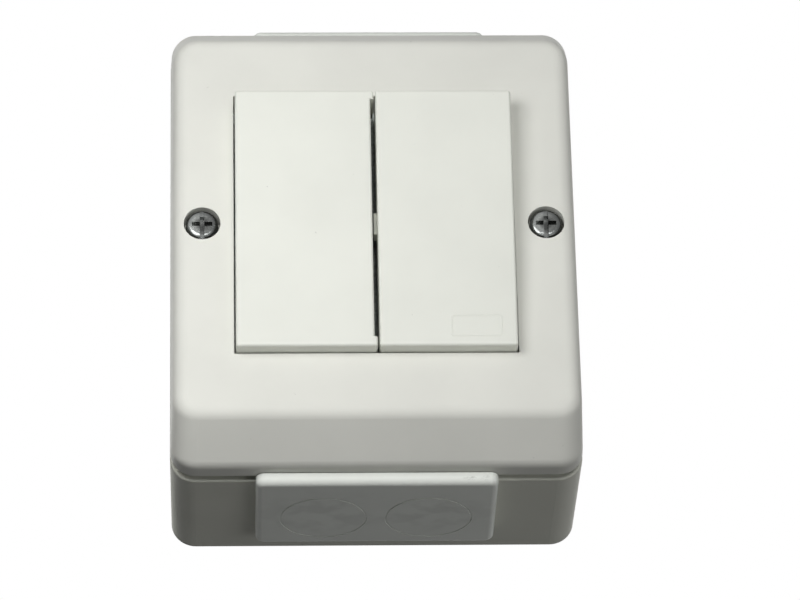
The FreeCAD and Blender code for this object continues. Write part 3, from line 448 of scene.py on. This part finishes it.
def make_mark(carrier):
    """A closed raised line around a bare field, lying on the face of a rocker."""
    on_face, outward = rocker_face(carrier)
    across = Vector((1, 0, 0))
    upward = across.cross(outward)
    low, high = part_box(carrier)
    middle_x = low.x + MARK_SIDE_GAP + MARK_WIDTH / 2
    middle_z = high.z - MARK_END_GAP - MARK_HEIGHT / 2
    slant = outward.z * (middle_z - on_face.z) + outward.x * (middle_x - on_face.x)
    middle = Vector((middle_x, on_face.y - slant / outward.y, middle_z))
    sections = [(0, -MARK_SINK), (MARK_BEVEL, MARK_RISE),
                (MARK_LINE - MARK_BEVEL, MARK_RISE), (MARK_LINE, -MARK_SINK)]
    shape = bmesh.new()
    rings = []
    for inset, rise in sections:
        base = middle + outward * rise
        outline = rounded_outline(MARK_WIDTH - 2 * inset, MARK_HEIGHT - 2 * inset,
                                  MARK_ROUND - inset)
        rings.append([shape.verts.new(base + across * x + upward * z) for x, z in outline])
    count = len(rings[0])
    for ring, following in zip(rings, rings[1:] + rings[:1]):
        for place in range(count):
            after = (place + 1) % count
            shape.faces.new((ring[place], ring[after], following[after], following[place]))
    bmesh.ops.recalc_face_normals(shape, faces=shape.faces)
    mesh = bpy.data.meshes.new("rocker_mark")
    shape.to_mesh(mesh)
    shape.free()
    mark = bpy.data.objects.new("rocker_mark", mesh)
    bpy.context.scene.collection.objects.link(mark)
    mesh.materials.append(rocker_plastic)
    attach(mark, carrier)


# Surroundings

def background_shader(tree, output, pale, shown):
    """One shader for camera, glossy and transmission rays, a paler one for all other light."""
    path = tree.nodes.new("ShaderNodeLightPath")
    seen = path.outputs["Is Camera Ray"]
    for other in ("Is Glossy Ray", "Is Transmission Ray"):
        seen = add_math(tree, "MAXIMUM", seen, path.outputs[other])
    mix = tree.nodes.new("ShaderNodeMixShader")
    tree.links.new(seen, mix.inputs["Fac"])
    tree.links.new(pale, mix.inputs[1])
    tree.links.new(shown, mix.inputs[2])
    tree.links.new(mix.outputs["Shader"], output.inputs["Surface"])


def make_world():
    """Faint light from all round, stronger from above, before a white backdrop."""
    world = bpy.data.worlds.new("studio")
    world.use_nodes = True
    tree = world.node_tree
    tree.nodes.clear()
    output = tree.nodes.new("ShaderNodeOutputWorld")
    dim = tree.nodes.new("ShaderNodeBackground")
    dim.inputs["Color"].default_value = (*WHITE, 1)
    height = add_axes(tree, "Generated")[2]
    strength = add_range(tree, height, (-1, 1), (WORLD_BELOW, WORLD_ABOVE))
    tree.links.new(strength, dim.inputs["Strength"])
    white = tree.nodes.new("ShaderNodeBackground")
    white.inputs["Color"].default_value = (*WHITE, 1)
    background_shader(tree, output, dim.outputs["Background"], white.outputs["Background"])
    bpy.context.scene.world = world


def make_floor():
    """A wide pale floor well below the switch, which hangs on its wall face."""
    mesh = bpy.data.meshes.new("floor")
    shape = bmesh.new()
    height = cad_box[0].z - FLOOR_DROP
    corners = [(-1, -1), (1, -1), (1, 1), (-1, 1)]
    shape.faces.new([shape.verts.new((x * FLOOR_HALF, y * FLOOR_HALF, height))
                     for x, y in corners])
    shape.to_mesh(mesh)
    shape.free()
    floor = bpy.data.objects.new("floor", mesh)
    bpy.context.scene.collection.objects.link(floor)
    material = bpy.data.materials.new("pale_floor")
    material.use_nodes = True
    tree = material.node_tree
    tree.nodes.clear()
    output = tree.nodes.new("ShaderNodeOutputMaterial")
    paint = tree.nodes.new("ShaderNodeBsdfDiffuse")
    paint.inputs["Color"].default_value = (*FLOOR_PAINT, 1)
    glow = tree.nodes.new("ShaderNodeEmission")
    background_shader(tree, output, paint.outputs["BSDF"], glow.outputs["Emission"])
    mesh.materials.append(material)


def add_lamp(name, direction, distance, size, power, mirrored):
    """A soft square lamp that faces the middle of the switch."""
    lamp = bpy.data.lights.new(name, "AREA")
    lamp.shape = "SQUARE"
    lamp.size = size
    lamp.energy = power
    holder = bpy.data.objects.new(name, lamp)
    centre = (cad_box[0] + cad_box[1]) / 2
    towards = Vector(direction).normalized()
    holder.location = centre + towards * distance
    holder.rotation_euler = towards.to_track_quat("Z", "Y").to_euler()
    holder.visible_glossy = mirrored
    bpy.context.scene.collection.objects.link(holder)


def make_camera():
    """Camera turned about the middle of the wall face, then shifted and backed off."""
    yaw = Matrix.Rotation(math.radians(CAMERA_YAW), 3, "Y")
    pitch = Matrix.Rotation(math.radians(-CAMERA_PITCH), 3, "X")
    roll = Matrix.Rotation(math.radians(CAMERA_ROLL), 3, "Z")
    turn = roll @ pitch @ yaw
    picture_to_object = Matrix(((-1, 0, 0), (0, 0, -1), (0, -1, 0)))
    axes = picture_to_object @ turn.transposed()
    data = bpy.data.cameras.new("camera")
    data.sensor_width = SENSOR_WIDTH
    data.sensor_fit = "HORIZONTAL"
    data.lens = FOCAL_PIXELS * SENSOR_WIDTH / IMAGE_WIDTH
    data.clip_start = CLIP_START
    data.clip_end = CLIP_END
    camera = bpy.data.objects.new("camera", data)
    place = axes @ Vector((-CAMERA_SHIFT_X, -CAMERA_SHIFT_Y, CAMERA_DISTANCE))
    camera.matrix_world = Matrix.Translation(place) @ axes.to_4x4()
    bpy.context.scene.collection.objects.link(camera)
    bpy.context.scene.camera = camera


make_mark("rocker_left")
make_world()
make_floor()
for lamp_values in LAMPS:
    add_lamp(*lamp_values)
make_camera()
bpy.context.scene.view_settings.view_transform = "Standard"
